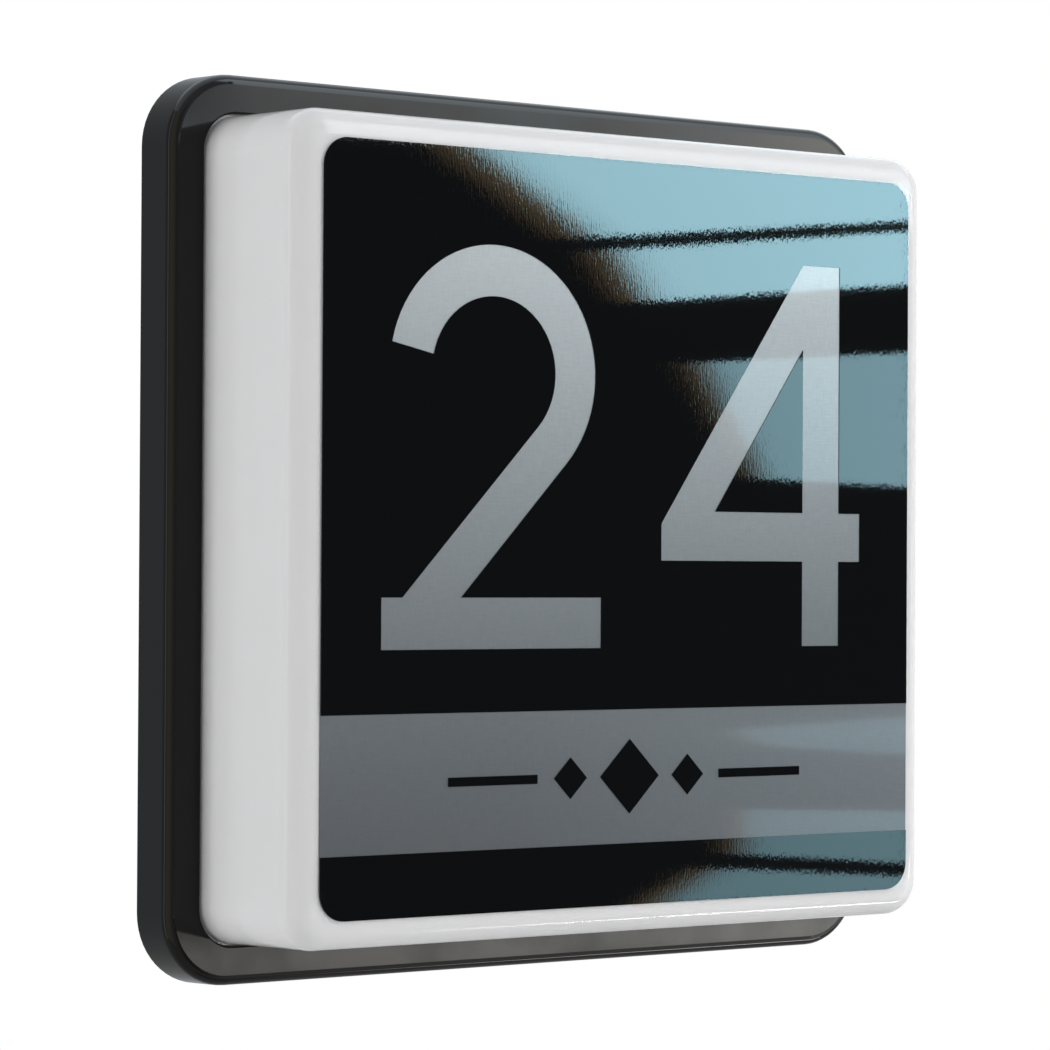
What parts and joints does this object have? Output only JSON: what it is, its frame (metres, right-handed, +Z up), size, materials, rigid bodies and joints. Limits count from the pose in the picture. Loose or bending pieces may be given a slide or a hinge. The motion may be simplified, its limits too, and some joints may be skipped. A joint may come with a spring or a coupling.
{
  "type": "illuminated house number sign",
  "caption": "Square surface-mounted outdoor wall light with a black frame, a deep opal diffuser and a silver and black number film on its face.",
  "frame": {"origin": "centre of the square rear face that lies on the wall", "axes": "+Z up the wall, -Y out of the wall towards the viewer, +X to the right as seen from the street"},
  "size_m": [0.24, 0.057, 0.24],
  "materials": {
    "tray_plastic": "fine moulded texture",
    "foam": "closed-cell foam",
    "black_rubber": "satin",
    "silicone": "satin",
    "spring_steel": "rolled strip",
    "zinc_steel": "zinc plated",
    "terminal_plastic": "moulded",
    "button_plastic": "moulded",
    "clamp_brass": "pressed",
    "driver_plastic": "fine moulded texture",
    "circuit_board": "solder mask",
    "ferrite": "sintered",
    "capacitor_can": "sleeved can",
    "brown_lead": "extruded sleeve",
    "blue_lead": "extruded sleeve",
    "earth_sleeve": "striped sleeve",
    "red_lead": "extruded sleeve",
    "black_lead": "extruded sleeve",
    "white_sheet": "powder coated, fine texture",
    "white_board": "white solder mask",
    "phosphor": "silicone dome",
    "opal_plastic": "polished opal",
    "frame_plastic": "satin",
    "silver_film": "metallised, linen grain",
    "black_film": "gloss"
  },
  "bodies": {
    "base": {"base_tray": "tray_plastic", "wall_gasket": "foam", "wall_screw_seals": "black_rubber", "cable_grommet": "black_rubber", "cover_seal": "silicone", "spring_clips": "spring_steel", "terminal_body": "terminal_plastic", "terminal_clamps": "clamp_brass", "terminal_screws": "zinc_steel", "driver_case": "driver_plastic", "driver_lid": "driver_plastic", "driver_board": "circuit_board", "driver_wire_blocks": "terminal_plastic", "driver_transformer": "ferrite", "driver_capacitors": "capacitor_can", "driver_screws": "zinc_steel", "live_lead": "brown_lead", "neutral_lead": "blue_lead", "earth_lead": "earth_sleeve", "earth_tag": "clamp_brass", "earth_screw": "zinc_steel", "earth_nut": "zinc_steel", "gear_tray": "white_sheet", "gear_tray_screws": "zinc_steel", "led_board": "white_board", "led_chips": "phosphor", "board_screws": "zinc_steel", "board_connector": "terminal_plastic", "light_lead_positive": "red_lead", "light_lead_negative": "black_lead"},
    "cover": {"bezel_frame": "frame_plastic", "diffuser": "opal_plastic", "silver_film": "silver_film", "black_mask": "black_film"},
    "live_button": {"live_release_button": "button_plastic"},
    "neutral_button": {"neutral_release_button": "button_plastic"},
    "earth_button": {"earth_release_button": "button_plastic"}
  },
  "joints": [
    {"name": "cover_pull", "type": "slide", "parent": "base", "child": "cover", "axis": [0, -1, 0], "range_m": [0, 0.07]},
    {"name": "live_button_press", "type": "slide", "parent": "base", "child": "live_button", "axis": [0, 1, 0], "range_m": [0, 0.0015], "stiffness_N_per_m": 400, "springref_m": -0.001},
    {"name": "neutral_button_press", "type": "slide", "parent": "base", "child": "neutral_button", "axis": [0, 1, 0], "range_m": [0, 0.0015], "stiffness_N_per_m": 400, "springref_m": -0.001},
    {"name": "earth_button_press", "type": "slide", "parent": "base", "child": "earth_button", "axis": [0, 1, 0], "range_m": [0, 0.0015], "stiffness_N_per_m": 400, "springref_m": -0.001}
  ]
}
